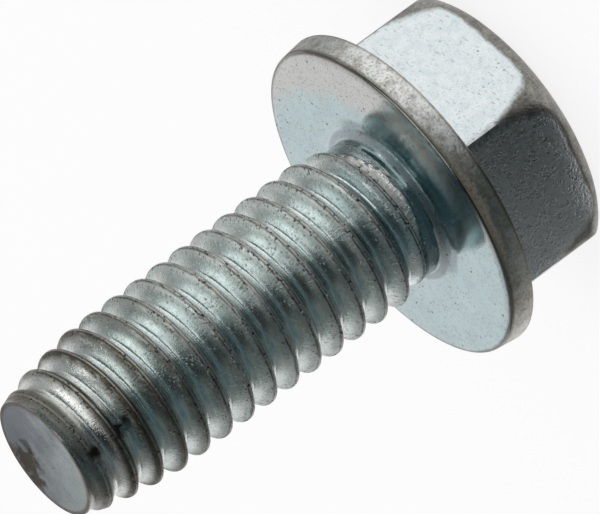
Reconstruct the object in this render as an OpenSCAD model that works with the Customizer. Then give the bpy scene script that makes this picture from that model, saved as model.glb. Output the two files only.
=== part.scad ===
// Flanged self-tapping screw, M6 x 1, in one piece.
// It stands on the flat top of its hex head, and its thread points up along +Z.
// The origin is at the centre of the head's top.

/* [Hex head] */
// Width across the hex flats
across_flats = 10; // [9.5:0.05:10.3]
// Height of the head with its flange
head_height = 5.28; // [4.6:0.02:7]
// Radius along the top edge of each flat
top_edge_radius = 0.6; // [0.3:0.05:1]
// Radius of the hex corners where their lean ends
corner_radius = 5.6; // [5.3:0.01:5.7]
// Radius of the round shoulder at the top of the corners
shoulder_radius = 1.45; // [1:0.05:2]
// Height of the corners' lean, from the shoulder to the full corner
corner_lean = 1.4; // [0.8:0.1:1.8]

/* [Flange] */
// Diameter of the flange at its back edge
flange_diameter = 12.5; // [12.1:0.1:15]
// Diameter of the flange at the edge of its bearing face
bearing_diameter = 12.3; // [11.6:0.1:12.4]
// Thickness of the flange at its rim
flange_thickness = 0.97; // [0.7:0.01:1.4]
// Rise of the flange's back from its rim to its axis
flange_rise = 0.3; // [0.1:0.05:0.6]
// Width of the small chamfer on the flange's two rim edges
rim_chamfer = 0.1; // [0.05:0.01:0.2]

/* [Neck] */
// Diameter of the plain neck
neck_diameter = 5.43; // [5.2:0.01:5.6]
// Length of the plain neck, from the bearing face
neck_length = 0.6; // [0.4:0.1:1.2]
// Diameter of the cone under the flange, where it meets the bearing face
cone_diameter = 6.32; // [5.8:0.02:7]
// Height of the cone under the flange
cone_height = 0.18; // [0.1:0.01:0.3]

/* [Thread] */
// Diameter over the thread's crests
thread_diameter = 6.08; // [5.9:0.02:6.4]
// Diameter at the thread's roots
root_diameter = 4.86; // [4.6:0.02:5.1]
// Distance between two crests
pitch = 1; // [0.8:0.05:1.25]
// Share of the pitch that the flat crest takes
crest_share = 0.13; // [0.08:0.01:0.2]
// Share of the pitch that the round root takes
root_share = 0.2; // [0.12:0.01:0.3]
// Turns over which the thread rises out of the neck
runout_turns = 1.3; // [0.8:0.1:2]
// Height of a crest above the bearing face, on the +X side
crest_height = 0.3; // [0:0.01:0.6]

/* [End] */
// Length from the bearing face to the end
shank_length = 15.56; // [12:0.02:25]
// Length of the tapered lead
lead_length = 3.5; // [2:0.1:6]
// Diameter over the crests at the end of the lead
lead_diameter = 5; // [4.8:0.02:5.6]
// Diameter of the flat end
end_diameter = 4.58; // [4.2:0.01:4.7]
// Height of the chamfer round the end
end_chamfer = 0.6; // [0.3:0.05:0.8]
// Diameter of the shallow dish in the end
dish_diameter = 4.3; // [2:0.1:4.4]
// Depth of the dish
dish_depth = 0.14; // [0.05:0.01:0.2]

/* [Hidden] */

// Heights above the head's top.
rim_back_z = head_height - flange_thickness;
bearing_z = head_height;
neck_z = bearing_z + neck_length;
end_z = bearing_z + shank_length;

hex_radius = across_flats / 2 / cos(30);
round_fn = 96;

// The threaded core reaches down into the neck, a hair inside the neck's wall.
core_sink = 0.3;
core_gap = 0.02;
core_radius = neck_diameter / 2 - core_gap;
thread_base_z = neck_z - core_sink;

// The roots lean in along the lead by this share of what the crests do.
lead_root_part = 0.3;

// One pitch of the thread's profile: a flat crest, then a round root between two straight flanks.
// Each bend has its share of the pitch and its rise, from 0 at the root to 1 at the crest.
root_middle = (1 + crest_share) / 2;
root_floor = root_share / 8;
root_rise = 0.07;
profile = [
    [0, 1],
    [crest_share, 1],
    [root_middle - root_share / 2, root_rise],
    [root_middle - root_floor, 0],
    [root_middle + root_floor, 0],
    [root_middle + root_share / 2, root_rise]
];
bends = len(profile);
profile_loop = concat(profile, [[1, profile[0][1]]]);

// The thread's wall is drawn as upright columns of points round the axis.
// The bends are counted up each column from two turns below the bearing face.
columns = 36;
turns_below = 2;
bend_count = bends * (ceil(shank_length / pitch) + turns_below + 2);
// Bends closer than this to either end are left out.
end_margin = pitch / 14;

function clamp(value, low, high) = max(low, min(high, value));
function blend(low, high, part) = low + (high - low) * part;

// Height of one bend on one column. Each column stands a little higher than the last: a right-hand thread.
function bend_z(column, bend) =
    let (turn = floor(bend / bends))
    let (share = profile[bend - turn * bends][0] - crest_share / 2)
    bearing_z + crest_height + pitch * (turn - turns_below + share + column / columns);

// First and last bend of a column between the thread's two ends.
function first_bend(column) =
    min([for (bend = [0 : bend_count]) if (bend_z(column, bend) > thread_base_z + end_margin) bend]);
function last_bend(column) =
    max([for (bend = [0 : bend_count]) if (bend_z(column, bend) < end_z - end_margin) bend]);

// How far the lead and the run-out have come to full size at a height, from 0 to 1.
function lead_part(z) = clamp((end_z - z) / lead_length, 0, 1);
function runout_part(z) = clamp((z - neck_z) / (pitch * runout_turns), 0, 1);

// Crest and root lean in along the lead, and part from the neck along the run-out.
function crest_radius(z) =
    blend(core_radius, blend(lead_diameter, thread_diameter, lead_part(z)) / 2, runout_part(z));
function root_radius(z) =
    let (lean = (thread_diameter - lead_diameter) * lead_root_part * (1 - lead_part(z)))
    blend(core_radius, (root_diameter - lean) / 2, runout_part(z));
function chamfer_radius(z) =
    blend(end_diameter, lead_diameter, (end_z - z) / end_chamfer) / 2;
function wall_radius(z, rise) =
    min(blend(root_radius(z), crest_radius(z), rise), chamfer_radius(z));

// Rise of the profile at any height on a column.
function rise_at(column, z) =
    let (turn = (z - bend_z(column, 0)) / pitch)
    lookup(turn - floor(turn), profile_loop);

// One column's points, from the lower end to the upper end.
function column_points(column, first, last) =
    let (heights = concat(
        [thread_base_z],
        [for (bend = [first : last]) bend_z(column, bend)],
        [end_z]))
    let (rises = concat(
        [rise_at(column, thread_base_z)],
        [for (bend = [first : last]) profile[bend % bends][1]],
        [rise_at(column, end_z)]))
    let (angle = 360 * column / columns)
    [for (i = [0 : len(heights) - 1])
        let (radius = wall_radius(heights[i], rises[i]))
        [radius * cos(angle), radius * sin(angle), heights[i]]];

// The threaded shank: a wall that follows the helix, with a flat face at each end.
module threaded_shank() {
    around = [0 : columns - 1];
    first = [for (column = around) first_bend(column)];
    last = [for (column = around) last_bend(column)];
    lists = [for (column = around) column_points(column, first[column], last[column])];
    // Number of each column's first point, and at the end the number of points in all.
    start = [for (column = 0, total = 0;
        column <= columns;
        total = total + (column < columns ? len(lists[column]) : 0), column = column + 1) total];

    // Number of a bend's point. A bend past either end gives that end's point.
    // Past the last column the count goes round to the first one, a turn higher.
    function point_number(column, bend) =
        let (home = column % columns)
        let (own = column < columns ? bend : bend + bends)
        start[home] + clamp(own, first[home] - 1, last[home] + 1) - first[home] + 1;
    function is_triangle(face) = face[0] != face[1] && face[1] != face[2] && face[2] != face[0];

    wall = [for (column = around)
        for (bend = [0 : max(last) + 1])
            let (a = point_number(column, bend))
            let (b = point_number(column + 1, bend))
            let (c = point_number(column + 1, bend + 1))
            let (d = point_number(column, bend + 1))
            each [[a, c, b], [a, d, c]]];
    lower_end = [for (column = around) start[column]];
    upper_end = [for (column = [columns : -1 : 1]) start[column] - 1];
    polyhedron(
        [for (list = lists) each list],
        concat([for (face = wall) if (is_triangle(face)) face], [lower_end, upper_end]));
}

// One pair of flats: a slab across the head, with a round edge along the top of each side.
module flat_pair() {
    half = across_flats / 2;
    slab_height = rim_back_z;
    slab_length = 4 * hex_radius;
    translate([0, slab_length / 2, 0])
        rotate([90, 0, 0])
            linear_extrude(slab_length)
                union() {
                    translate([-half, top_edge_radius])
                        square([across_flats, slab_height - top_edge_radius]);
                    translate([-half + top_edge_radius, 0])
                        square([across_flats - 2 * top_edge_radius, slab_height]);
                    for (side = [-1, 1])
                        translate([side * (half - top_edge_radius), top_edge_radius])
                            circle(top_edge_radius, $fn = round_fn);
                }
}

// The turned outline that leans and rounds the hex corners toward the top.
module corner_outline() {
    shoulder_in = corner_radius - shoulder_radius;
    past_corner = hex_radius + 0.05;
    rotate_extrude($fn = round_fn)
        union() {
            square([shoulder_in, head_height]);
            intersection() {
                translate([shoulder_in, shoulder_radius])
                    circle(shoulder_radius, $fn = round_fn);
                square([corner_radius, shoulder_radius]);
            }
            polygon([
                [0, shoulder_radius],
                [corner_radius, shoulder_radius],
                [past_corner, shoulder_radius + corner_lean],
                [past_corner, head_height],
                [0, head_height]
            ]);
        }
}

module hex_head() {
    intersection() {
        corner_outline();
        intersection_for (turn = [0, 60, 120])
            rotate([0, 0, turn])
                flat_pair();
    }
}

// The flange, the cone under it and the plain neck, as one turned shape.
module flange_and_neck() {
    back_radius = flange_diameter / 2;
    face_radius = bearing_diameter / 2;
    rotate_extrude($fn = round_fn)
        polygon([
            [0, rim_back_z - flange_rise],
            [back_radius - rim_chamfer, rim_back_z],
            [back_radius, rim_back_z + rim_chamfer],
            [face_radius, bearing_z - rim_chamfer],
            [face_radius - rim_chamfer, bearing_z],
            [cone_diameter / 2, bearing_z],
            [neck_diameter / 2, bearing_z + cone_height],
            [neck_diameter / 2, neck_z],
            [0, neck_z]
        ]);
}

// A large ball above the end, which leaves the shallow dish.
module end_dish() {
    half = dish_diameter / 2;
    ball_radius = (half * half + dish_depth * dish_depth) / (2 * dish_depth);
    translate([0, 0, end_z + ball_radius - dish_depth])
        sphere(ball_radius, $fn = round_fn);
}

module flange_screw() {
    color("lightsteelblue")
        union() {
            hex_head();
            flange_and_neck();
            difference() {
                threaded_shank();
                end_dish();
            }
        }
}

flange_screw();
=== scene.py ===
import math

import bmesh
import bpy
from mathutils import Matrix, Vector


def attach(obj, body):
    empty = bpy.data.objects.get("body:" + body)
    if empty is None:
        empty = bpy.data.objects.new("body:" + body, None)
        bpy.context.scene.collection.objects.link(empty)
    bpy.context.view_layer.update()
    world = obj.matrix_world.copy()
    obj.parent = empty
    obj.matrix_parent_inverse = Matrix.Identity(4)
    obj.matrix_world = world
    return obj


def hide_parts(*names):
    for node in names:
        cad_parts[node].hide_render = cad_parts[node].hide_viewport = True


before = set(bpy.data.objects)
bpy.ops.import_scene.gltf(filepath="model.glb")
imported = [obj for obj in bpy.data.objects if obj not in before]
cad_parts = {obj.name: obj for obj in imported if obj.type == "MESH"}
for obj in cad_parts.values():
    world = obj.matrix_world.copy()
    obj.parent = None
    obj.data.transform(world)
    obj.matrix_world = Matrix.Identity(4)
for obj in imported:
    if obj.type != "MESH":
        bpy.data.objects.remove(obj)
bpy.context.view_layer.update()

# Every size below is in millimetres, and the frame is in metres
MM = 0.001

# Sizes of the head, which stands on its top at height zero
HALF_FLATS = 5.0
TOP_EDGE_RADIUS = 0.6
CORNER_RADIUS = 5.6
SHOULDER_RADIUS = 1.45
CORNER_LEAN = 1.4
PAST_CORNER = 0.05

# How softly the faces of the head run into each other
CORNER_SHARPNESS = 110
EDGE_BLEND = 0.04
FLAT_BLEND = 0.12

# Sizes of the flange and of the neck under it
RIM_BACK_HEIGHT = 4.31
BEARING_HEIGHT = 5.28
FLANGE_RISE = 0.3
RIM_BACK_RADIUS = 6.244
RIM_FRONT_RADIUS = 6.15
RIM_ROUND = 0.1
CONE_RADIUS = 3.16
CONE_HEIGHT = 0.18
NECK_RADIUS = 2.715
NECK_HEIGHT = 5.88
JOIN_HEIGHT = 5.7

# Sizes of the rolled thread and of its blunt end
PITCH = 1.0
CREST_RADIUS = 3.04
ROOT_RADIUS = 2.43
CORE_RADIUS = 2.695
CREST_ABOVE_SEAT = 0.3
RUNOUT_LENGTH = 1.3
LEAD_LENGTH = 3.5
LEAD_CREST_RADIUS = 2.5
LEAD_ROOT_RADIUS = 2.268
END_HEIGHT = 20.84
END_RADIUS = 2.29
END_CHAMFER = 0.6
DISH_RADIUS = 2.15
DISH_DEPTH = 0.14

# The land that the rolling dies left between the first crest and the neck
LAND_ANGLE = -88.0
LAND_HEIGHT = 5.82
LAND_RISE = 1.25
LAND_TAPER = 0.12
LAND_EDGE = 0.04

# Columns of the mesh round the axis, chosen so that hex corners fall on columns
COLUMNS = 204
ANGLES = [math.tau * column / COLUMNS for column in range(COLUMNS)]

# Rings of the mesh on the head's top, its round edges, its sides and their foot on the flange
TOP_RING_SHARES = (0.25, 0.5, 0.75, 0.94)
TOP_EDGE_STEPS = 8
SIDE_STEPS = 22
SIDE_END_GAP = 0.12
FOOT_GAP = 0.06
FOOT_SINK = 0.02
HEX_MARGIN = 0.01

# Rings of the mesh on the flange's back, its rim, its bearing face and the cone
BACK_RING_SHARES = (0.12, 0.5, 1.0)
ROUND_STEPS = 4
RIM_STEPS = 8
SEAT_STEPS = 8
CONE_FOOT_OUT = 0.04
CONE_FILLET = 0.03
CONE_HOLLOW_OUT = 0.5
CONE_HOLLOW_UP = 0.6
CONE_TOP_OUT = 0.12
CONE_TOP_DROP = 0.02

# One turn of the thread from crest to crest, as share of the pitch and height over the root
TURN_PROFILE = (
    (0.0, 0.94),
    (0.03, 1.0),
    (0.065, 0.985),
    (0.09, 0.925),
    (0.1675, 0.71),
    (0.245, 0.495),
    (0.3225, 0.283),
    (0.4, 0.07),
    (0.45, 0.015),
    (0.5, 0.0),
    (0.55, 0.015),
    (0.6, 0.07),
    (0.6775, 0.283),
    (0.755, 0.495),
    (0.8325, 0.71),
    (0.91, 0.925),
    (0.935, 0.985),
    (0.97, 1.0),
)

# The grid of the thread starts and stops some turns past its ends, and folds over the blunt end
SPARE_TURNS = 2
FIRST_CREST = BEARING_HEIGHT + CREST_ABOVE_SEAT
START_HEIGHT = FIRST_CREST - (math.ceil((FIRST_CREST - JOIN_HEIGHT) / PITCH) + SPARE_TURNS) * PITCH
TURNS = math.ceil((END_HEIGHT - START_HEIGHT) / PITCH) + SPARE_TURNS
ROWS_IN_TURN = len(TURN_PROFILE)
ROW_NUDGE = 0.01
WIDEST_STEP = 0.08 * PITCH
CAP_RUN = 0.8 * PITCH

# Points closer than this are merged, and edges sharper than this stay crisp
THREAD_WELD = 0.001
SHELL_WELD = 0.0015
SHARP_ANGLE = 38

# A face belongs to the blunt end if it lies this near to it and is this level
END_NEAR = 1.5 * DISH_DEPTH
END_LEVEL = 0.8

# The inputs of the thread's node tree
THREAD_SIZES = {
    "Pitch": PITCH,
    "Start Height": START_HEIGHT,
    "Join Height": JOIN_HEIGHT,
    "Neck Height": NECK_HEIGHT,
    "End Height": END_HEIGHT,
    "Runout Length": RUNOUT_LENGTH,
    "Lead Length": LEAD_LENGTH,
    "Neck Radius": NECK_RADIUS,
    "Core Radius": CORE_RADIUS,
    "Crest Radius": CREST_RADIUS,
    "Root Radius": ROOT_RADIUS,
    "Lead Crest Radius": LEAD_CREST_RADIUS,
    "Lead Root Radius": LEAD_ROOT_RADIUS,
    "End Radius": END_RADIUS,
    "End Chamfer": END_CHAMFER,
    "Dish Radius": DISH_RADIUS,
    "Dish Depth": DISH_DEPTH,
}

# Places of the materials on the screw
HEAD = 0
SEAT = 1
THREAD = 2
END = 3

# Colours of soil and rust; the dark soil colour also paints the shade at the foot of the hexagon and some
# of the shade on its side turned from the lamp
SOIL_AND_SHADE = (0.05, 0.042, 0.035, 1.0)
EDGE_SOIL = (0.15, 0.13, 0.1, 1.0)
RUST_BROWN = (0.13, 0.095, 0.065, 1.0)

# Colours of the plate on the flats and on the grained round edges of the head
FLAT_PALE = (0.84, 0.90, 0.91, 1.0)
FLAT_BLUE = (0.74, 0.82, 0.84, 1.0)
# The scoured grey is partly painted shade, for the flats on the side turned from the lamp
FLAT_SCOURED_SHADED = (0.73, 0.73, 0.75, 1.0)
DIE_GREY = (0.36, 0.35, 0.325, 1.0)
DIE_DARK = (0.24, 0.232, 0.21, 1.0)

# Colours of the rim
RIM_BRIGHT = (0.94, 0.955, 0.945, 1.0)
RIM_DULL = (0.56, 0.53, 0.48, 1.0)
RIM_TAN = (0.55, 0.50, 0.41, 1.0)
GRIME_DARK = (0.045, 0.04, 0.025, 1.0)
GRIME_OLIVE = (0.14, 0.122, 0.08, 1.0)

# Colours of the bearing face, the cone and the neck, whose teal is painted reflection of the bearing face
SEAT_PALE = (0.70, 0.85, 0.87, 1.0)
SEAT_BLUE = (0.63, 0.77, 0.80, 1.0)
SEAT_RUBBED = (0.80, 0.79, 0.765, 1.0)
CONE_GREY = (0.57, 0.645, 0.68, 1.0)
NECK_REFLECTED_TEAL = (0.33, 0.395, 0.395, 1.0)

# Colours of the thread, with painted reflection in the underside teal and painted shade in the root grey
FLANK_BRIGHT = (0.92, 0.985, 0.965, 1.0)
FLANK_DULL = (0.83, 0.92, 0.905, 1.0)
UNDERSIDE_REFLECTED_TEAL = (0.17, 0.30, 0.33, 1.0)
LAND_WHITE = (0.97, 0.965, 0.94, 1.0)
LEAD_WORN = (0.93, 0.925, 0.90, 1.0)
END_EDGE_BROWN = (0.30, 0.28, 0.24, 1.0)
ROOT_SHADE_GREY = (0.22, 0.24, 0.235, 1.0)
CREST_DUST = (0.115, 0.108, 0.08, 1.0)
SEAM_BROWN = (0.13, 0.11, 0.09, 1.0)
CREST_TAN = (0.78, 0.72, 0.68, 1.0)
GRAIN_WHITE = (0.95, 0.98, 0.965, 1.0)

# Colours of the blunt end; its pale and its grey paint the shading of the dish
END_LIT_PALE = (0.53, 0.595, 0.60, 1.0)
END_SHADED_GREY = (0.345, 0.375, 0.415, 1.0)
LIP_BROWN = (0.22, 0.175, 0.14, 1.0)

# Ranges over which a finish or painted shade of the head or rim comes or goes, as places along X or as
# heights
SCOUR_AND_SHADE_FROM = (-0.3, 0.3)
RIM_START = (RIM_BACK_HEIGHT - 0.02, RIM_BACK_HEIGHT + 0.02)
FOOT_SHADE = (RIM_BACK_HEIGHT - 0.11, RIM_BACK_HEIGHT - 0.06)
RIM_BACK_LINE = (RIM_BACK_HEIGHT + 0.07, RIM_BACK_HEIGHT + 0.15)
RIM_FRONT_LINE = (BEARING_HEIGHT - 0.2, BEARING_HEIGHT - 0.1)
RIM_SOIL_RISE = (4.6, 5.1)
SOIL_SIDE_START = (2.2, -1.0)
SOIL_SIDE_END = (-5.5, -2.5)

# The way in which the bearing face is rubbed most
RUBBED_WAY = (0.42, -0.42, 0.0)

# Ranges over which a finish of the bearing face or cone, or the painted reflection on the neck, comes or
# goes, as radii or heights
RUBBED_FROM = (6.3, 7.2)
SEAT_EDGE_LINE = (5.97, 6.07)
NECK_START = (BEARING_HEIGHT + CONE_HEIGHT - 0.02, BEARING_HEIGHT + CONE_HEIGHT + 0.03)
CONE_START = (BEARING_HEIGHT + 0.03, BEARING_HEIGHT + 0.08)
CONE_END = (NECK_RADIUS + 0.02, NECK_RADIUS + 0.08)

# Heights on the thread over which a finish or painted reflection comes or goes
FIRST_TURN_END = (NECK_HEIGHT + 0.25, NECK_HEIGHT + 0.5)
BY_HEAD_END = (NECK_HEIGHT + 1.0, NECK_HEIGHT + 3.0)
EVEN_CHATTER_END = (8.5, 10.5)
TIP_DUST_START = (14.5, 18.0)
GRAINS_END = (15.5, 18.0)
LEAD_WORN_START = (17.8, 20.6)
LAST_TURN_START = (19.3, 19.9)
DULL_TURN_START = (19.5, 20.0)
END_EDGE_START = (20.12, 20.5)

# Shares of the pitch away from a crest over which a finish or the painted shade of the roots comes or
# goes
TAN_END = (0.02, 0.05)
SEAM_START = (0.025, 0.045)
SEAM_END = (0.06, 0.1)
SPOTS_END = (0.06, 0.24)
CHATTER_START = (0.07, 0.12)
CHATTER_END = (0.18, 0.3)
DUST_END = (0.13, 0.3)
FLANK_GRAINS_END = (0.3, 0.42)
ROOT_START = (0.36, 0.45)

# The dish's edge, and single stains as centre, reach and raggedness
LIP_START = (DISH_RADIUS - 0.06, DISH_RADIUS + 0.04)
THREAD_MARKS = (((-0.84, -2.46, 20.14), 0.36, 0.5), ((-0.72, -2.5, 19.0), 0.36, 0.8))
END_STAINS = (((0.25, 1.6, 20.8), 0.8, 0.6), ((-0.4, 1.85, 20.8), 0.45, 0.6))
END_SCRATCH = ((0.75, 0.9, 20.8), 0.3, 0.9)

# Noise lies about this value
NOISE_MIDDLE = 0.5

# The floor, the surround and the lamp
FLOOR_REACH = 900
FLOOR_LEVEL = -0.02
FLOOR_WHITE = (0.9, 0.9, 0.9, 1.0)
FLOOR_GLOW = 0.85
SURROUND_WHITE = (1.0, 1.0, 1.0, 1.0)
SURROUND_SEEN = 1.0
SURROUND_LIGHT = 0.8
LAMP_PLACE = (60, 45, 160)
LAMP_AIM = (0, 0, 8)
LAMP_WIDTH = 90
LAMP_POWER = 0.04

# Colours of the cards that the plate mirrors
CARD_ROUGHNESS = 0.9
CARD_COLOURS = {
    "black": (0.028, 0.031, 0.03, 1.0),
    "deep": (0.05, 0.056, 0.052, 1.0),
    "shade": (0.15, 0.155, 0.15, 1.0),
    "teal": (0.085, 0.13, 0.145, 1.0),
    "mist": (0.1, 0.15, 0.15, 1.0),
    "slate": (0.22, 0.225, 0.22, 1.0),
    "grey": (0.38, 0.385, 0.38, 1.0),
    "dull": (0.5, 0.5, 0.5, 1.0),
    "pale": (0.8, 0.8, 0.8, 1.0),
}

# Cards that lie on the floor: two directions in degrees right of the camera, two distances, a colour
FLOOR_CARD_LEVEL = 0.02
FLOOR_CARDS = (
    ("edge_card", 50, 33, 22, 90, "pale"),
    ("turn_card", 33, 12, 18, 90, "grey"),
    ("front_card", 13, -6, 7.6, 119, "deep"),
    ("near_card", -6, -47, 5.9, 19, "black"),
    ("deep_card", -6, -52, 19, 119, "black"),
    ("hex_card", -47, -60, 6.2, 19, "shade"),
    ("foot_card", -60, -88, 6.2, 19, "grey"),
    ("side_card", -52, -118, 19, 90, "shade"),
    ("far_card", 91, 150, 6.2, 90, "grey"),
)

# Cards that stand or hang round the screw: two opposite corners and a colour
ROOM_CARDS = (
    ("left_card", (-60, 5, 0), (-60, 60, 80), "slate"),
    ("wing_card", (-60, -90, 0), (-60, 5, 80), "teal"),
    ("right_card", (60, 10, 0), (60, 60, 80), "grey"),
    ("back_card", (-110, 95, 0), (110, 95, 52), "pale"),
    ("high_card", (-110, 95, 52), (110, 95, 90), "dull"),
    ("flag_card", (-200, -120, 0), (10, -120, 150), "teal"),
    ("screen_card", (10, -120, 44), (200, -120, 190), "mist"),
    ("wall_card", (200, -120, 42), (200, 25, 250), "mist"),
    ("roof_card", (-110, -120, 90), (-6, 15, 90), "black"),
    ("top_card", (-110, 15, 90), (110, 95, 90), "slate"),
)

# The camera of the photograph, rolled so that the tip points to the lower left
CAMERA_ELEVATION = 21.67
CAMERA_ROLL = -126.47
PIXELS_ACROSS = 600
PIXELS_IN_MM = 29.447
FOCAL_PIXELS = 15000
SEAT_RIGHT = 90.0
SEAT_DOWN = -53.6
SENSOR_WIDTH = 36.0
CLIP_START = 0.01
CLIP_END = 10.0


# Steps that every node tree is made of
class NodeSteps:
    """Adds steps of arithmetic to one node tree."""

    def __init__(self, tree):
        self.tree = tree

    def node(self, kind):
        """A new node of the given kind."""
        return self.tree.nodes.new(kind)

    def put(self, socket, value):
        """Joins an output to a socket, or writes a plain value on it."""
        if isinstance(value, bpy.types.NodeSocket):
            self.tree.links.new(value, socket)
        else:
            socket.default_value = value

    def work(self, operation, first, second=0.0, clamp=False):
        """One step of arithmetic."""
        step = self.node("ShaderNodeMath")
        step.operation = operation
        step.use_clamp = clamp
        self.put(step.inputs[0], first)
        self.put(step.inputs[1], second)
        return step.outputs[0]

    def plus(self, first, second):
        """The sum of two numbers."""
        return self.work("ADD", first, second)

    def minus(self, first, second):
        """The first number less the second."""
        return self.work("SUBTRACT", first, second)

    def times(self, first, second):
        """The product of two numbers."""
        return self.work("MULTIPLY", first, second)

    def least(self, first, second):
        """The lesser of two numbers."""
        return self.work("MINIMUM", first, second)

    def most(self, first, second):
        """The greater of two numbers."""
        return self.work("MAXIMUM", first, second)

    def share_of(self, first, second):
        """The first number divided by the second, held between nothing and one."""
        return self.work("DIVIDE", first, second, clamp=True)

    def between(self, share, low, high):
        """The number that lies the given share of the way from low to high."""
        blend = self.node("ShaderNodeMix")
        blend.data_type = "FLOAT"
        self.put(blend.inputs[0], share)
        self.put(blend.inputs[2], low)
        self.put(blend.inputs[3], high)
        return blend.outputs[0]

    def ramp(self, value, low, high, to_low=0.0, to_high=1.0):
        """Carries a number from one range to another and holds it there."""
        step = self.node("ShaderNodeMapRange")
        for socket, number in zip(step.inputs, (value, low, high, to_low, to_high)):
            self.put(socket, number)
        return step.outputs[0]

    def split(self, vector):
        """The three parts of a vector."""
        parts = self.node("ShaderNodeSeparateXYZ")
        self.put(parts.inputs[0], vector)
        return parts.outputs

    def join(self, across, along, up=0.0):
        """A vector of three parts."""
        whole = self.node("ShaderNodeCombineXYZ")
        for socket, part in zip(whole.inputs, (across, along, up)):
            self.put(socket, part)
        return whole.outputs[0]

    def straight_curve(self, value, points):
        """A curve that runs straight from point to point."""
        curve = self.node("ShaderNodeFloatCurve")
        line = curve.mapping.curves[0]
        while len(line.points) < len(points):
            line.points.new(0.5, 0.5)
        for point, place in zip(line.points, points):
            point.location = place
            point.handle_type = "VECTOR"
        curve.mapping.update()
        self.put(curve.inputs[1], value)
        return curve.outputs[0]


# The rolled thread, made by a node tree from its sizes
def profile_curve(steps, phase, column, last):
    """One column of the turn's profile as a curve over the turn, with the value at its end."""
    points = [(row / ROWS_IN_TURN, point[column]) for row, point in enumerate(TURN_PROFILE)]
    return steps.straight_curve(phase, points + [(1.0, last)])


def thread_wall(steps, given, wall, rise, to_end):
    """Radius of the thread's wall: run-out from the neck, full thread and tapered lead."""
    lead = steps.share_of(to_end, given["Lead Length"])
    grown = steps.share_of(steps.minus(wall, given["Neck Height"]), given["Runout Length"])
    crest = steps.between(lead, given["Lead Crest Radius"], given["Crest Radius"])
    root = steps.between(lead, given["Lead Root Radius"], given["Root Radius"])
    thread = steps.between(rise, root, crest)
    on_core = steps.between(grown, given["Core Radius"], thread)
    from_neck = steps.ramp(wall, given["Join Height"], given["Neck Height"])
    return steps.between(from_neck, given["Neck Radius"], on_core)


def land_shape(steps, given, wall, around, angle):
    """Radius of the land, where it lies, and where the wall is past the land's lower edge."""
    crest_height = steps.plus(steps.times(around, given["Pitch"]), FIRST_CREST)
    crest_past_neck = steps.minus(crest_height, given["Neck Height"])
    crest_grown = steps.share_of(crest_past_neck, given["Runout Length"])
    below_crest = steps.minus(crest_height, wall)
    radius = steps.between(crest_grown, given["Core Radius"], given["Crest Radius"])
    radius = steps.plus(radius, steps.times(below_crest, LAND_TAPER))
    off_middle = steps.work("COSINE", steps.minus(angle, math.radians(LAND_ANGLE)))
    rise_to_sides = steps.times(steps.minus(1.0, off_middle), LAND_RISE)
    over_edge = steps.minus(wall, steps.plus(rise_to_sides, LAND_HEIGHT))
    past_edge = steps.ramp(over_edge, -LAND_EDGE, LAND_EDGE)
    under_crest = steps.ramp(below_crest, 0.0, LAND_EDGE)
    return radius, steps.times(past_edge, under_crest), past_edge


def end_cap(steps, given, height, wall, wall_radius):
    """Radius and height of the grid's points, which past the end close over the dish."""
    past_end = steps.minus(steps.minus(height, given["End Height"]), WIDEST_STEP)
    cap = steps.share_of(past_end, CAP_RUN)
    radius = steps.times(wall_radius, steps.minus(1.0, cap))
    in_dish = steps.share_of(radius, given["Dish Radius"])
    hollow = steps.minus(1.0, steps.times(in_dish, in_dish))
    on_cap = steps.work("GREATER_THAN", cap, 0.0)
    dip = steps.times(steps.times(hollow, given["Dish Depth"]), on_cap)
    return radius, steps.minus(wall, dip)


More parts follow.
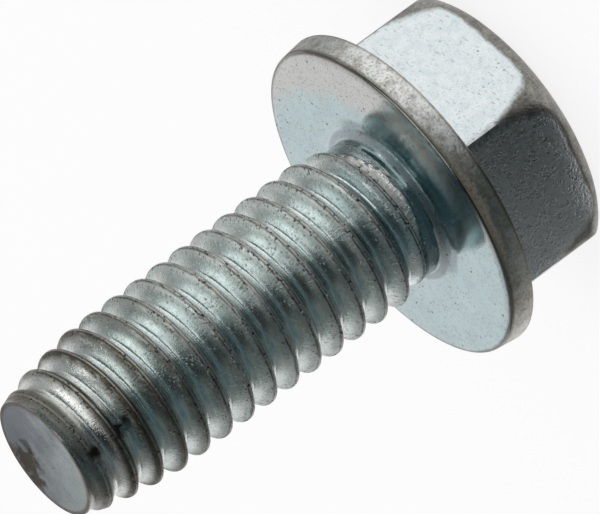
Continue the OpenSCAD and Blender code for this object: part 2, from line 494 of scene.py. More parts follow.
def thread_tree(surface):
    """Wraps a grid round the axis so that its rows follow the helix of the thread."""
    tree = bpy.data.node_groups.new("rolled_thread", "GeometryNodeTree")
    tree.is_modifier = True
    steps = NodeSteps(tree)
    names = {}
    for name, size in THREAD_SIZES.items():
        socket = tree.interface.new_socket(name=name, in_out="INPUT", socket_type="NodeSocketFloat")
        socket.default_value = size
        names[name] = socket.identifier
    tree.interface.new_socket(name="Geometry", in_out="OUTPUT", socket_type="NodeSocketGeometry")
    given = steps.node("NodeGroupInput").outputs

    rows = TURNS * ROWS_IN_TURN
    grid = steps.node("GeometryNodeMeshGrid")
    grid.inputs["Size X"].default_value = 1.0
    grid.inputs["Size Y"].default_value = 1.0
    grid.inputs["Vertices X"].default_value = COLUMNS + 1
    grid.inputs["Vertices Y"].default_value = rows + 1

    # The grid reaches half its size to each side of its middle
    across, along, _ = steps.split(steps.node("GeometryNodeInputPosition").outputs[0])
    around = steps.plus(across, 0.5)
    row = steps.work("ROUND", steps.times(steps.plus(along, 0.5), rows))
    turn = steps.work("FLOOR", steps.work("DIVIDE", steps.plus(row, ROW_NUDGE), ROWS_IN_TURN))
    phase = steps.minus(steps.work("DIVIDE", row, ROWS_IN_TURN), turn)
    share = profile_curve(steps, phase, 0, 1.0)
    rise = profile_curve(steps, phase, 1, TURN_PROFILE[0][1])
    from_crest = steps.least(share, steps.minus(1.0, share))

    turned = steps.plus(steps.plus(turn, share), around)
    height = steps.plus(given["Start Height"], steps.times(turned, given["Pitch"]))
    wall = steps.least(steps.most(height, given["Join Height"]), given["End Height"])
    to_end = steps.minus(given["End Height"], wall)
    angle = steps.times(around, math.tau)

    rolled = thread_wall(steps, given, wall, rise, to_end)
    land_radius, on_land, past_edge = land_shape(steps, given, wall, around, angle)
    landed = steps.between(on_land, rolled, steps.most(rolled, land_radius))
    slope = steps.minus(given["Lead Crest Radius"], given["End Radius"])
    slope = steps.work("DIVIDE", slope, given["End Chamfer"])
    chamfer = steps.plus(given["End Radius"], steps.times(to_end, slope))
    wall_radius = steps.least(landed, chamfer)
    radius, level = end_cap(steps, given, height, wall, wall_radius)

    to_x = steps.times(radius, steps.work("COSINE", angle))
    to_y = steps.times(radius, steps.work("SINE", angle))
    metres = steps.node("ShaderNodeVectorMath")
    metres.operation = "SCALE"
    steps.put(metres.inputs[0], steps.join(to_x, to_y, level))
    metres.inputs["Scale"].default_value = MM

    held = grid.outputs["Mesh"]
    for name, value in (("crest_gap", from_crest), ("on_land", on_land), ("past_neck", past_edge)):
        keep = steps.node("GeometryNodeStoreNamedAttribute")
        keep.data_type = "FLOAT"
        keep.domain = "POINT"
        keep.inputs["Name"].default_value = name
        steps.put(keep.inputs["Geometry"], held)
        steps.put(keep.inputs["Value"], value)
        held = keep.outputs[0]
    shape = steps.node("GeometryNodeSetPosition")
    steps.put(shape.inputs["Geometry"], held)
    steps.put(shape.inputs["Position"], metres.outputs[0])
    weld = steps.node("GeometryNodeMergeByDistance")
    weld.inputs["Distance"].default_value = THREAD_WELD * MM
    steps.put(weld.inputs["Geometry"], shape.outputs[0])
    real = steps.node("GeometryNodeRealizeInstances")
    steps.put(real.inputs[0], weld.outputs[0])
    paint = steps.node("GeometryNodeSetMaterial")
    paint.inputs["Material"].default_value = surface
    steps.put(paint.inputs["Geometry"], real.outputs[0])
    out = steps.node("NodeGroupOutput")
    steps.put(out.inputs[0], paint.outputs[0])
    return tree, names


def thread_mesh(surface):
    """Runs the thread's node tree and gives its result as a plain mesh."""
    tree, names = thread_tree(surface)
    blank = bpy.data.meshes.new("thread_blank")
    carrier = bpy.data.objects.new("thread_carrier", blank)
    bpy.context.scene.collection.objects.link(carrier)
    roll = carrier.modifiers.new("roll_thread", "NODES")
    roll.node_group = tree
    for name, size in THREAD_SIZES.items():
        roll[names[name]] = size
    ready = carrier.evaluated_get(bpy.context.evaluated_depsgraph_get())
    made = bpy.data.meshes.new_from_object(ready)
    carrier.modifiers.remove(roll)
    bpy.data.objects.remove(carrier)
    return made


# The head, flange and neck, made of rings from the head's top up to the thread
def soft_least(first, second, blend):
    """The lesser of two lengths, rounded off where they are nearly equal."""
    spread = abs(first - second)
    return min(first, second) - blend * math.log1p(math.exp(-spread / blend))


def flats_reach(angle, half_width):
    """Distance from the axis to six flats, with the corners between them a little rounded."""
    total = 0.0
    for side in range(6):
        facing = max(math.cos(angle - side * math.pi / 3), 0.0)
        total += facing ** CORNER_SHARPNESS
    return half_width / total ** (1.0 / CORNER_SHARPNESS)


def corner_reach(height):
    """Distance from the axis to the turned outline that rounds the corners of the head."""
    inner = CORNER_RADIUS - SHOULDER_RADIUS
    if height < SHOULDER_RADIUS:
        rise = SHOULDER_RADIUS - height
        return inner + math.sqrt(SHOULDER_RADIUS ** 2 - rise ** 2)
    lean = min((height - SHOULDER_RADIUS) / CORNER_LEAN, 1.0)
    full_corner = HALF_FLATS / math.cos(math.pi / 6) + PAST_CORNER
    return CORNER_RADIUS + (full_corner - CORNER_RADIUS) * lean


def flats_half_width(height):
    """Half the width across the flats, which round over at the top of the head."""
    if height >= TOP_EDGE_RADIUS:
        return HALF_FLATS
    rise = TOP_EDGE_RADIUS - height
    return HALF_FLATS - TOP_EDGE_RADIUS + math.sqrt(TOP_EDGE_RADIUS ** 2 - rise ** 2)


def hex_reach(angle, height):
    """Distance from the axis to the hexagon, the lesser of flats and corner outline."""
    flats = flats_reach(angle, flats_half_width(height))
    return soft_least(flats, corner_reach(height), EDGE_BLEND)


def foot_reach(angle):
    """Distance from the axis to the foot of the hexagon on the flange."""
    return hex_reach(angle, RIM_BACK_HEIGHT - FOOT_GAP)


def flange_back_height(radius):
    """Height of the flange's back, a shallow cone that is lowest at the axis."""
    return RIM_BACK_HEIGHT - FLANGE_RISE * (1.0 - radius / RIM_BACK_RADIUS)


def flat_gap(height, angle):
    """How far inside a flat a point of the hexagon lies, negative on round edges and corners."""
    past_corner = corner_reach(height) - flats_reach(angle, flats_half_width(height))
    past_edge = height - TOP_EDGE_RADIUS
    return soft_least(past_corner, past_edge, FLAT_BLEND)


def on_hexagon(radius, height):
    """True for the points of the hexagon, which stand below the flange."""
    return height < flange_back_height(radius) - HEX_MARGIN


def hex_rings():
    """Rings of the hexagon: its top, the rounded edges, the sides and their foot."""
    rings = []
    for share in TOP_RING_SHARES:
        rings.append([(share * hex_reach(angle, 0.0), 0.0) for angle in ANGLES])
    heights = [0.0]
    for step in range(1, TOP_EDGE_STEPS + 1):
        heights.append(TOP_EDGE_RADIUS * (1.0 - math.cos(step / TOP_EDGE_STEPS * math.pi / 2)))
    side = RIM_BACK_HEIGHT - SIDE_END_GAP - TOP_EDGE_RADIUS
    for step in range(1, SIDE_STEPS + 1):
        heights.append(TOP_EDGE_RADIUS + side * step / SIDE_STEPS)
    for height in heights:
        rings.append([(hex_reach(angle, height), height) for angle in ANGLES])
    foot = []
    for angle in ANGLES:
        reach = foot_reach(angle)
        foot.append((reach, flange_back_height(reach) - FOOT_SINK))
    rings.append(foot)
    return rings


def back_rings():
    """Rings of the flange's back, from the foot of the hexagon to the rim."""
    edge = RIM_BACK_RADIUS - RIM_ROUND
    rings = []
    for share in BACK_RING_SHARES:
        ring = []
        for angle in ANGLES:
            reach = foot_reach(angle)
            radius = reach + (edge - reach) * share
            ring.append((radius, flange_back_height(radius)))
        rings.append(ring)
    return rings


def rim_outline():
    """Outline of the rim with its two round edges, as radius and height."""
    edge = RIM_BACK_RADIUS - RIM_ROUND
    back = flange_back_height(edge)
    low = back + RIM_ROUND
    high = BEARING_HEIGHT - RIM_ROUND
    outline = []
    for step in range(1, ROUND_STEPS + 1):
        bend = step / ROUND_STEPS * math.pi / 2
        radius = edge + RIM_ROUND * math.sin(bend)
        outline.append((radius, back + RIM_ROUND * (1.0 - math.cos(bend))))
    for step in range(1, RIM_STEPS):
        share = step / RIM_STEPS
        radius = RIM_BACK_RADIUS + (RIM_FRONT_RADIUS - RIM_BACK_RADIUS) * share
        outline.append((radius, low + (high - low) * share))
    for step in range(ROUND_STEPS + 1):
        bend = step / ROUND_STEPS * math.pi / 2
        radius = RIM_FRONT_RADIUS - RIM_ROUND * (1.0 - math.cos(bend))
        outline.append((radius, high + RIM_ROUND * math.sin(bend)))
    return outline


def seat_outline():
    """Outline of the bearing face, the cone and the neck up to the thread, as radius and height."""
    seat_edge = RIM_FRONT_RADIUS - RIM_ROUND
    seat_run = CONE_RADIUS + CONE_FOOT_OUT - seat_edge
    outline = []
    for step in range(1, SEAT_STEPS + 1):
        outline.append((seat_edge + seat_run * step / SEAT_STEPS, BEARING_HEIGHT))
    cone_top = BEARING_HEIGHT + CONE_HEIGHT
    cone_run = CONE_RADIUS - NECK_RADIUS
    hollow_radius = NECK_RADIUS + CONE_HOLLOW_OUT * cone_run
    outline.append((CONE_RADIUS - CONE_FILLET, BEARING_HEIGHT + CONE_FILLET))
    outline.append((hollow_radius, BEARING_HEIGHT + CONE_HOLLOW_UP * CONE_HEIGHT))
    outline.append((NECK_RADIUS + CONE_TOP_OUT * cone_run, cone_top - CONE_TOP_DROP))
    outline.append((NECK_RADIUS, cone_top + CONE_FILLET))
    outline.append((NECK_RADIUS, JOIN_HEIGHT))
    return outline


def head_rings():
    """All rings of the head, flange and neck, in the order in which they are joined."""
    rings = hex_rings() + back_rings()
    for radius, height in rim_outline() + seat_outline():
        rings.append([(radius, height)] * COLUMNS)
    return rings


def screw_mesh(surfaces):
    """Joins the rings of the head to the thread as one closed shell."""
    thread = thread_mesh(surfaces[THREAD])
    shell = bmesh.new()
    shell.from_mesh(thread)
    bpy.data.meshes.remove(thread)
    for face in shell.faces:
        high = face.calc_center_median().z / MM > END_HEIGHT - END_NEAR
        face.material_index = END if high and abs(face.normal.z) > END_LEVEL else THREAD

    gap = shell.verts.layers.float.new("flat_gap")
    before = None
    for ring in head_rings():
        row = []
        for (radius, height), angle in zip(ring, ANGLES):
            spot = Vector((radius * math.cos(angle), radius * math.sin(angle), height))
            point = shell.verts.new(spot * MM)
            point[gap] = -1.0
            if on_hexagon(radius, height):
                point[gap] = flat_gap(height, angle)
            row.append(point)
        if before is None:
            shell.faces.new(list(reversed(row))).material_index = HEAD
        else:
            for i in range(COLUMNS):
                j = (i + 1) % COLUMNS
                face = shell.faces.new((before[i], before[j], row[j], row[i]))
                on_seat = face.calc_center_median().z / MM > BEARING_HEIGHT - RIM_ROUND / 2
                face.material_index = SEAT if on_seat else HEAD
        before = row

    bmesh.ops.remove_doubles(shell, verts=shell.verts, dist=SHELL_WELD * MM)
    bmesh.ops.recalc_face_normals(shell, faces=shell.faces)
    for face in shell.faces:
        face.smooth = True
    made = bpy.data.meshes.new("screw_body")
    shell.to_mesh(made)
    shell.free()
    for surface in surfaces:
        made.materials.append(surface)
    made.set_sharp_from_angle(angle=math.radians(SHARP_ANGLE))
    return made


# Zinc plate with a clear blue passivation, and the states it is in on each part of the screw
class Plate(NodeSteps):
    """A metal material, with object coordinates counted in millimetres."""

    def __init__(self, name):
        self.surface = bpy.data.materials.new(name)
        self.surface.use_nodes = True
        super().__init__(self.surface.node_tree)
        self.shader = self.tree.nodes["Principled BSDF"]
        self.shader.inputs["Metallic"].default_value = 1.0
        coordinates = self.node("ShaderNodeTexCoord")
        self.where = self.mapped(coordinates.outputs["Object"], (1.0 / MM, 1.0 / MM, 1.0 / MM))
        self.x, self.y, self.height = self.split(self.where)

    def mapped(self, vector, scale, turn=(0.0, 0.0, 0.0)):
        """A vector that is stretched and turned."""
        mapping = self.node("ShaderNodeMapping")
        mapping.inputs["Rotation"].default_value = turn
        mapping.inputs["Scale"].default_value = scale
        self.put(mapping.inputs["Vector"], vector)
        return mapping.outputs[0]

    def from_axis(self):
        """Distance from the screw's axis."""
        square = self.plus(self.times(self.x, self.x), self.times(self.y, self.y))
        return self.work("SQRT", square)

    def mix(self, share, first, second):
        """The colour that lies the given share of the way from first to second."""
        blend = self.node("ShaderNodeMix")
        blend.data_type = "RGBA"
        self.put(blend.inputs[0], share)
        self.put(blend.inputs[6], first)
        self.put(blend.inputs[7], second)
        return blend.outputs[2]

    def cloud(self, scale, detail=3.0, roughness=0.55, where=None):
        """Soft noise, with its scale in patches for each millimetre."""
        noise = self.node("ShaderNodeTexNoise")
        self.put(noise.inputs["Vector"], where or self.where)
        noise.inputs["Scale"].default_value = scale
        noise.inputs["Detail"].default_value = detail
        noise.inputs["Roughness"].default_value = roughness
        return noise.outputs[0]

    def swing(self, noise, width):
        """Noise that swings both ways from nothing, over about the given width."""
        return self.times(self.minus(noise, NOISE_MIDDLE), width)

    def specks(self, scale, size, low, high, where=None):
        """Small spots of uneven size, in the patches where a broad noise lies above low."""
        where = where or self.where
        cells = self.node("ShaderNodeTexVoronoi")
        self.put(cells.inputs["Vector"], where)
        cells.inputs["Scale"].default_value = scale
        reach = self.times(cells.outputs["Color"], size)
        near = self.work("DIVIDE", cells.outputs["Distance"], reach)
        spot = self.ramp(near, 0.6, 1.0, 1.0, 0.0)
        patch = self.ramp(self.cloud(0.23 * scale, detail=1.0, where=where), low, high)
        return self.times(spot, patch)

    def blot(self, centre, reach, ragged):
        """A ragged stain round a point, with its reach in millimetres."""
        gap = self.node("ShaderNodeVectorMath")
        gap.operation = "DISTANCE"
        self.put(gap.inputs[0], self.where)
        gap.inputs[1].default_value = centre
        wander = self.swing(self.cloud(3.0, detail=4.0), 3.0 * ragged * reach)
        return self.ramp(self.plus(gap.outputs["Value"], wander), 0.5 * reach, reach, 1.0, 0.0)

    def carried(self, name):
        """A number that the mesh carries at each point."""
        held = self.node("ShaderNodeAttribute")
        held.attribute_name = name
        return held.outputs["Fac"]

    def finish(self, colour, gloss, relief, depth):
        """Gives the shader its colour, its roughness and bumps of a depth in millimetres."""
        bump = self.node("ShaderNodeBump")
        bump.inputs["Strength"].default_value = 1.0
        bump.inputs["Distance"].default_value = depth * MM
        self.put(bump.inputs["Height"], relief)
        self.put(self.shader.inputs["Base Color"], colour)
        self.put(self.shader.inputs["Roughness"], gloss)
        self.put(self.shader.inputs["Normal"], bump.outputs[0])
        return self.surface


# In the finishes below, plain numbers in a ramp are a range of noise and the shares that it gives
def rim_finish(plate, grain, scour_and_shade):
    """Colour of the rim, and the share of thick soil on it, which lies beside the bearing face."""
    patch = plate.cloud(2.6, detail=8.0, roughness=0.75)
    colour = plate.mix(plate.ramp(patch, 0.45, 0.65), RIM_BRIGHT, RIM_DULL)
    colour = plate.mix(plate.ramp(grain, 0.3, 0.5, 0.5, 0.0), colour, SOIL_AND_SHADE)
    # Partly scouring, partly painted shade: the rim is tanner on the side turned from the lamp
    colour = plate.mix(plate.times(scour_and_shade, 0.5), colour, RIM_TAN)
    by_seat = plate.ramp(plate.plus(plate.height, plate.swing(patch, 1.3)), *RIM_SOIL_RISE)
    side = plate.ramp(plate.x, *SOIL_SIDE_START, 0.15, 0.85)
    side = plate.times(side, plate.ramp(plate.x, *SOIL_SIDE_END, 0.2, 1.0))
    soil = plate.times(by_seat, side)
    soil_colour = plate.mix(plate.ramp(grain, 0.36, 0.6), GRIME_DARK, GRIME_OLIVE)
    colour = plate.mix(soil, colour, soil_colour)
    at_front = plate.ramp(plate.height, *RIM_FRONT_LINE, 0.0, 0.7)
    at_back = plate.ramp(plate.height, *RIM_BACK_LINE, 0.65, 0.0)
    colour = plate.mix(plate.most(at_front, at_back), colour, EDGE_SOIL)
    return colour, soil


def head_plate():
    """Head and rim: pale smooth flats, and grained grey where the dies formed round edges."""
    plate = Plate("head_plate")
    mottle = plate.cloud(2.4, detail=4.0, roughness=0.6)
    grain = plate.cloud(11.0, detail=3.0, roughness=0.65)
    flat = plate.plus(plate.carried("flat_gap"), plate.swing(mottle, 0.25))
    flat = plate.ramp(flat, 0.0, 0.12)
    # Scouring and painted shade: on the side towards −X, turned from the lamp, the flats get greyer and
    # darker with more dark grain and deeper grain bumps, and the rim gets tanner
    scour_and_shade = plate.ramp(plate.x, *SCOUR_AND_SHADE_FROM, 1.0, 0.0)
    on_rim = plate.ramp(plate.height, *RIM_START)

    smooth = plate.mix(plate.ramp(mottle, 0.35, 0.7), FLAT_PALE, FLAT_BLUE)
    smooth = plate.mix(plate.times(scour_and_shade, 0.8), smooth, FLAT_SCOURED_SHADED)
    dark_grain = plate.ramp(grain, 0.25, 0.45, 0.35, 0.0)
    dark_grain = plate.times(dark_grain, plate.between(scour_and_shade, 1.0, 1.5))
    smooth = plate.mix(dark_grain, smooth, SOIL_AND_SHADE)
    rough = plate.mix(plate.ramp(mottle, 0.36, 0.64), DIE_GREY, DIE_DARK)
    rough = plate.mix(plate.ramp(grain, 0.3, 0.56, 0.5, 0.0), rough, SOIL_AND_SHADE)
    rim, rim_soil = rim_finish(plate, grain, scour_and_shade)
    colour = plate.mix(flat, plate.mix(on_rim, rough, rim), smooth)

    # Painted shade in the dark soil colour, in the crease where the hexagon's sides meet the flange's
    # back
    painted_foot_shade = plate.ramp(plate.height, *FOOT_SHADE)
    painted_foot_shade = plate.times(painted_foot_shade, plate.minus(1.0, on_rim))
    colour = plate.mix(plate.times(painted_foot_shade, 0.85), colour, SOIL_AND_SHADE)
    spots = plate.specks(5.0, size=0.3, low=0.45, high=0.6)
    colour = plate.mix(plate.times(spots, 0.5), colour, SOIL_AND_SHADE)
    slanted = plate.mapped(plate.where, (1.0, 1.0, 3.5), (0.5, 0.9, 0.4))
    scuffs = plate.specks(3.2, size=0.5, low=0.47, high=0.6, where=slanted)
    colour = plate.mix(plate.times(scuffs, 0.3), colour, RUST_BROWN)

    matt = plate.times(rim_soil, on_rim)
    plate.put(plate.shader.inputs["Metallic"], plate.ramp(matt, 0.4, 0.9, 1.0, 0.5))
    smooth_gloss = plate.ramp(mottle, 0.3, 0.7, 0.22, 0.34)
    rough_gloss = plate.ramp(grain, 0.3, 0.7, 0.46, 0.3)
    rough_gloss = plate.plus(rough_gloss, plate.times(matt, 0.25))
    gloss = plate.between(flat, rough_gloss, smooth_gloss)
    flat_depth = plate.between(scour_and_shade, 0.8, 1.9)
    relief = plate.times(grain, plate.between(flat, 1.0, flat_depth))
    relief = plate.minus(relief, plate.times(spots, 0.3))
    return plate.finish(colour, gloss, relief, depth=0.02)


def seat_plate():
    """Bearing face, cone and neck: smooth pale blue, warm grey and soiled towards the rim."""
    plate = Plate("seat_plate")
    out = plate.from_axis()
    mottle = plate.cloud(1.1, detail=4.0, roughness=0.6)
    grain = plate.cloud(12.0, detail=2.0, roughness=0.6)

    wander = plate.swing(mottle, 2.0)
    rubbed = plate.node("ShaderNodeVectorMath")
    rubbed.operation = "DOT_PRODUCT"
    plate.put(rubbed.inputs[0], plate.where)
    rubbed.inputs[1].default_value = RUBBED_WAY
    towards_rim = plate.plus(plate.plus(out, wander), rubbed.outputs["Value"])
    warm = plate.ramp(towards_rim, *RUBBED_FROM, 0.0, 0.9)
    colour = plate.mix(plate.ramp(mottle, 0.35, 0.65), SEAT_PALE, SEAT_BLUE)
    colour = plate.mix(warm, colour, SEAT_RUBBED)
    # Painted reflection: above the cone the neck is painted a dark teal, for the bearing face that it
    # mirrors
    colour = plate.mix(plate.ramp(plate.height, *NECK_START), colour, NECK_REFLECTED_TEAL)
    raised = plate.ramp(plate.height, *CONE_START)
    on_cone = plate.times(raised, plate.ramp(out, *CONE_END))
    colour = plate.mix(on_cone, colour, CONE_GREY)

    gritty = plate.ramp(grain, 0.24, 0.44, 1.0, 0.0)
    gritty = plate.times(gritty, plate.between(warm, 0.4, 0.65))
    colour = plate.mix(gritty, colour, SOIL_AND_SHADE)
    grit = plate.specks(8.0, size=0.45, low=0.44, high=0.58)
    colour = plate.mix(plate.times(grit, 0.55), colour, SOIL_AND_SHADE)
    spots = plate.specks(3.2, size=0.2, low=0.38, high=0.52)
    colour = plate.mix(spots, colour, SOIL_AND_SHADE)
    edge_line = plate.plus(out, plate.times(wander, 0.06))
    edge_line = plate.ramp(edge_line, *SEAT_EDGE_LINE, 0.0, 0.8)
    colour = plate.mix(edge_line, colour, EDGE_SOIL)

    gloss = plate.ramp(mottle, 0.3, 0.7, 0.045, 0.085)
    gloss = plate.plus(gloss, plate.times(warm, 0.02))
    gloss = plate.plus(gloss, plate.times(on_cone, 0.3))
    return plate.finish(colour, gloss, plate.minus(grain, spots), depth=0.004)


def chatter_marks(plate, from_crest, on_land):
    """Fine ticks across the flanks beside the crests and on the land, even only near the head."""
    arc = plate.times(plate.work("ARCTAN2", plate.y, plate.x), CREST_RADIUS)
    along = plate.join(plate.times(arc, 13.0), plate.times(plate.height, 4.0))
    ticks = plate.ramp(plate.cloud(1.0, detail=2.0, where=along), 0.42, 0.6)
    band = plate.ramp(from_crest, *CHATTER_END, 0.5, 0.0)
    band = plate.times(band, plate.ramp(from_crest, *CHATTER_START))
    band = plate.most(band, plate.times(on_land, 0.45))
    patchy = plate.ramp(plate.cloud(0.55, detail=2.0), 0.42, 0.58)
    patchy = plate.most(patchy, plate.ramp(plate.height, *EVEN_CHATTER_END, 1.0, 0.0))
    return plate.times(ticks, plate.times(band, patchy))


def thread_plate():
    """Rolled thread: bright flanks, a soiled seam along each crest, duller towards the tip."""
    plate = Plate("thread_plate")
    height = plate.height
    streak = plate.cloud(1.6, detail=4.0, roughness=0.6, where=plate.mapped(plate.where, (1.0, 1.0, 4.0)))
    grain = plate.cloud(13.0, detail=3.0, roughness=0.65)
    from_crest = plate.carried("crest_gap")
    on_land = plate.carried("on_land")
    last_turn = plate.ramp(height, *LAST_TURN_START, 1.0, 0.5)

    # Plate of the flanks, the run-out, the land and the lead, with painted reflection on the first turn
    # and on the undersides by the head
    colour = plate.mix(plate.ramp(streak, 0.35, 0.65), FLANK_BRIGHT, FLANK_DULL)
    # Painted reflection: the first turn carries the neck's dark teal up to the land's edge
    first_turn_reflection = plate.ramp(height, *FIRST_TURN_END, 0.9, 0.0)
    first_turn_reflection = plate.times(first_turn_reflection, plate.minus(1.0, plate.carried("past_neck")))
    colour = plate.mix(first_turn_reflection, colour, NECK_REFLECTED_TEAL)
    # Painted reflection: faces sloping down towards the head, on the turns near it, are painted dark teal
    # for the bearing face they mirror
    slope = plate.split(plate.node("ShaderNodeNewGeometry").outputs["Normal"])[2]
    underside_reflection = plate.ramp(slope, -0.35, 0.0, 0.75, 0.0)
    underside_reflection = plate.times(underside_reflection, plate.ramp(height, *BY_HEAD_END, 1.0, 0.0))
    colour = plate.mix(underside_reflection, colour, UNDERSIDE_REFLECTED_TEAL)
    colour = plate.mix(on_land, colour, LAND_WHITE)
    worn = plate.ramp(plate.plus(height, streak), *LEAD_WORN_START, 0.0, 0.9)
    colour = plate.mix(worn, colour, LEAD_WORN)
    by_end = plate.plus(height, plate.times(streak, 0.4))
    colour = plate.mix(plate.ramp(by_end, *END_EDGE_START, 0.0, 0.75), colour, END_EDGE_BROWN)
    colour = plate.mix(plate.ramp(grain, 0.24, 0.42, 0.5, 0.0), colour, SOIL_AND_SHADE)

    # Painted shade in the roots, dust on the flanks towards the tip, and the seam with its tan crest
    root_shade = plate.ramp(from_crest, *ROOT_START, 0.0, 0.12)
    colour = plate.mix(root_shade, colour, ROOT_SHADE_GREY)
    dusty = plate.ramp(from_crest, *DUST_END, 1.0, 0.0)
    near_tip = plate.times(plate.ramp(height, *TIP_DUST_START, 0.25, 1.0), last_turn)
    dust = plate.times(plate.times(dusty, near_tip), plate.ramp(streak, 0.34, 0.48, 0.7, 1.0))
    colour = plate.mix(dust, colour, CREST_DUST)
    seam = plate.times(plate.ramp(from_crest, *SEAM_END, 1.0, 0.0), plate.ramp(from_crest, *SEAM_START))
    seam = plate.times(seam, plate.ramp(streak, 0.38, 0.55, 0.35, 0.95))
    colour = plate.mix(plate.times(seam, last_turn), colour, SEAM_BROWN)
    tan = plate.times(plate.ramp(from_crest, *TAN_END, 0.6, 0.0), last_turn)
    colour = plate.mix(tan, colour, CREST_TAN)

    # Dark spots by the crests, two single marks near the tip, and bright grains on the flanks
    spots = plate.specks(5.5, size=0.46, low=0.36, high=0.5)
    spots = plate.most(spots, plate.specks(9.0, size=0.55, low=0.36, high=0.48))
    spots = plate.times(spots, plate.ramp(from_crest, *SPOTS_END, 1.0, 0.25))
    soiled = plate.times(spots, 0.9)
    for mark in THREAD_MARKS:
        soiled = plate.most(soiled, plate.blot(*mark))
    colour = plate.mix(soiled, colour, SOIL_AND_SHADE)
    grains = plate.specks(8.0, size=0.55, low=0.53, high=0.58)
    grains = plate.times(grains, plate.ramp(from_crest, *FLANK_GRAINS_END, 1.0, 0.0))
    grains = plate.times(grains, plate.ramp(height, *GRAINS_END, 1.0, 0.2))
    colour = plate.mix(grains, colour, GRAIN_WHITE)

    gloss = plate.ramp(streak, 0.3, 0.7, 0.11, 0.19)
    for share, added in ((grains, 0.3), (dusty, 0.2), (root_shade, 0.15), (soiled, 0.3), (on_land, 0.11)):
        gloss = plate.plus(gloss, plate.times(share, added))
    gloss = plate.plus(gloss, plate.ramp(height, *DULL_TURN_START, 0.0, 0.12))
    relief = plate.plus(plate.times(grain, 0.8), streak)
    relief = plate.plus(relief, plate.times(chatter_marks(plate, from_crest, on_land), 1.7))
    relief = plate.plus(relief, plate.times(grains, 2.0))
    return plate.finish(colour, gloss, plate.minus(relief, soiled), depth=0.012)


def end_plate():
    """Blunt end: dull blue grey, pitted, with a stain and a scratch by its edge."""
    plate = Plate("end_plate")
    mottle = plate.cloud(1.2, detail=4.0, roughness=0.6)
    grain = plate.cloud(11.0, detail=3.0, roughness=0.65)
    # Painted shade: the end's face darkens towards +X and +Y, broken up by noise, for the shading of the
    # dish
    slant = plate.plus(plate.times(plate.x, 0.7), plate.times(plate.y, 0.3))
    slant = plate.plus(slant, plate.swing(mottle, 4.0))
    colour = plate.mix(plate.ramp(slant, -0.9, 0.7), END_LIT_PALE, END_SHADED_GREY)
    colour = plate.mix(plate.ramp(grain, 0.25, 0.45, 0.5, 0.0), colour, SOIL_AND_SHADE)
    lip = plate.ramp(plate.from_axis(), *LIP_START, 0.0, 0.85)
    colour = plate.mix(lip, colour, LIP_BROWN)
    stain = plate.most(*[plate.blot(*place) for place in END_STAINS])
    colour = plate.mix(plate.times(stain, 0.85), colour, RUST_BROWN)
    spots = plate.times(plate.specks(3.0, size=0.3, low=0.45, high=0.55), 0.8)
    soiled = plate.most(spots, plate.times(plate.blot(*END_SCRATCH), 0.6))
    colour = plate.mix(soiled, colour, SOIL_AND_SHADE)

    gloss = plate.ramp(mottle, 0.3, 0.7, 0.34, 0.46)
    gloss = plate.plus(gloss, plate.times(stain, 0.25))
    relief = plate.minus(grain, plate.plus(soiled, stain))
    return plate.finish(colour, gloss, relief, depth=0.012)


# The table, the lamp and the cards that the plate mirrors
def card_material(name, colour):
    """A matt surface of one colour for the stage."""
    surface = bpy.data.materials.new(name)
    surface.use_nodes = True
    shader = surface.node_tree.nodes["Principled BSDF"]
    shader.inputs["Base Color"].default_value = colour
    shader.inputs["Roughness"].default_value = CARD_ROUGHNESS
    shader.inputs["Specular IOR Level"].default_value = 0.0
    return surface


def seen_share(steps):
    """One for rays of the camera, of reflections and through glass, and nothing for other rays."""
    path = steps.node("ShaderNodeLightPath").outputs
    seen = steps.most(path["Is Camera Ray"], path["Is Glossy Ray"])
    return steps.most(seen, path["Is Transmission Ray"])


def floor_material():
    """White paper that shows a light shadow."""
    surface = card_material("pale_floor", FLOOR_WHITE)
    steps = NodeSteps(surface.node_tree)
    glow = steps.node("ShaderNodeEmission")
    glow.inputs["Strength"].default_value = 1.0
    mix = steps.node("ShaderNodeMixShader")
    steps.put(mix.inputs[0], steps.times(seen_share(steps), FLOOR_GLOW))
    steps.put(mix.inputs[1], steps.tree.nodes["Principled BSDF"].outputs[0])
    steps.put(mix.inputs[2], glow.outputs[0])
    steps.put(steps.tree.nodes["Material Output"].inputs["Surface"], mix.outputs[0])
    return surface


def sheet(name, corners, surface):
    """A flat four-cornered sheet for the stage, corners in millimetres."""
    mesh = bpy.data.meshes.new(name)
    mesh.from_pydata([Vector(corner) * MM for corner in corners], [], [(0, 1, 2, 3)])
    mesh.materials.append(surface)
    made = bpy.data.objects.new(name, mesh)
    bpy.context.scene.collection.objects.link(made)
    return made


def mirror_card(name, corners, surface):
    """A card that only shows as a reflection in the plate."""
    card = sheet(name, corners, surface)
    card.visible_camera = False
    card.visible_diffuse = False
    card.visible_shadow = False
    card.visible_transmission = False


def fan_corners(first, last, near, far):
    """Corners of a card on the floor that fans out between two directions."""
    corners = []
    for turn, reach in ((first, near), (first, far), (last, far), (last, near)):
        way = math.radians(turn)
        corners.append((reach * math.sin(way), -reach * math.cos(way), FLOOR_CARD_LEVEL))
    return corners


def sheet_corners(low, high):
    """Corners of a level or upright rectangle between two opposite corners."""
    left, front, bottom = low
    right, back, top = high
    if bottom == top:
        return [(left, front, top), (right, front, top), (right, back, top), (left, back, top)]
    return [(left, front, bottom), (right, back, bottom), (right, back, top), (left, front, top)]


def soft_lamp(name, place, aim, width, power):
    """A square soft lamp that points at a place, in millimetres."""
    data = bpy.data.lights.new(name, "AREA")
    data.shape = "SQUARE"
    data.size = width * MM
    data.energy = power
    lamp = bpy.data.objects.new(name, data)
    bpy.context.scene.collection.objects.link(lamp)
    lamp.location = Vector(place) * MM
    towards = Vector(aim) - Vector(place)
    lamp.rotation_euler = towards.to_track_quat("-Z", "Y").to_euler()


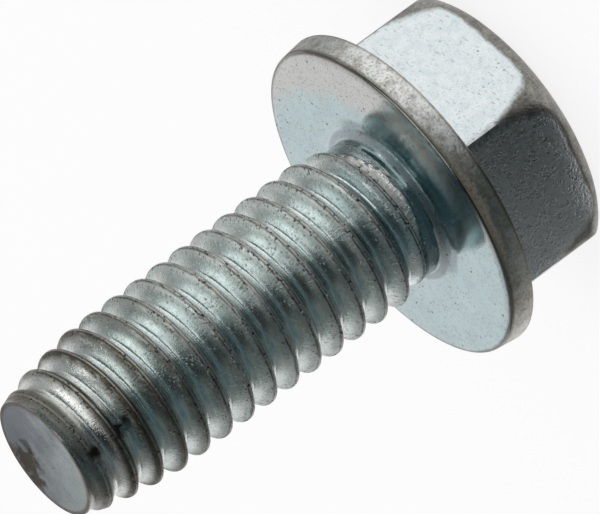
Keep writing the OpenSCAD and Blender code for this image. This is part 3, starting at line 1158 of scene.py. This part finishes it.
def set_world():
    """A white surround for the camera and for reflections, and softer light for the rest."""
    world = bpy.data.worlds.new("studio")
    bpy.context.scene.world = world
    world.use_nodes = True
    steps = NodeSteps(world.node_tree)
    back = steps.tree.nodes["Background"]
    back.inputs["Color"].default_value = SURROUND_WHITE
    strength = steps.between(seen_share(steps), SURROUND_LIGHT, SURROUND_SEEN)
    steps.put(back.inputs["Strength"], strength)


def set_stage():
    """Floor, lamp and cards round the screw."""
    low = (-FLOOR_REACH, -FLOOR_REACH, FLOOR_LEVEL)
    high = (FLOOR_REACH, FLOOR_REACH, FLOOR_LEVEL)
    sheet("floor", sheet_corners(low, high), floor_material())
    cards = {name: card_material(name + "_card", colour) for name, colour in CARD_COLOURS.items()}
    for name, first, last, near, far, colour in FLOOR_CARDS:
        mirror_card(name, fan_corners(first, last, near, far), cards[colour])
    for name, low, high, colour in ROOM_CARDS:
        mirror_card(name, sheet_corners(low, high), cards[colour])
    soft_lamp("key_lamp", LAMP_PLACE, LAMP_AIM, LAMP_WIDTH, LAMP_POWER)


def set_camera():
    """Puts the camera where the bearing face falls on its place in the photograph."""
    tilt = math.radians(CAMERA_ELEVATION)
    roll = math.radians(CAMERA_ROLL)
    ahead = Vector((0.0, math.cos(tilt), -math.sin(tilt)))
    level_right = Vector((1.0, 0.0, 0.0))
    level_up = level_right.cross(ahead)
    right = math.cos(roll) * level_right + math.sin(roll) * level_up
    up = right.cross(ahead)
    distance = FOCAL_PIXELS / PIXELS_IN_MM
    seat = Vector((0.0, 0.0, BEARING_HEIGHT))
    centre = seat - right * (SEAT_RIGHT / PIXELS_IN_MM) + up * (SEAT_DOWN / PIXELS_IN_MM)
    data = bpy.data.cameras.new("photo_camera")
    data.sensor_width = SENSOR_WIDTH
    data.lens = SENSOR_WIDTH * FOCAL_PIXELS / PIXELS_ACROSS
    data.clip_start = CLIP_START
    data.clip_end = CLIP_END
    camera = bpy.data.objects.new("photo_camera", data)
    bpy.context.scene.collection.objects.link(camera)
    turn = Matrix((right, up, -ahead)).transposed().to_4x4()
    camera.matrix_world = Matrix.Translation((centre - ahead * distance) * MM) @ turn
    bpy.context.scene.camera = camera


# Building the scene
surfaces = [head_plate(), seat_plate(), thread_plate(), end_plate()]
screw = bpy.data.objects.new("screw_body", screw_mesh(surfaces))
bpy.context.scene.collection.objects.link(screw)
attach(screw, "root")
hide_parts("flange_screw")
set_world()
set_stage()
set_camera()
bpy.context.scene.view_settings.view_transform = "Standard"
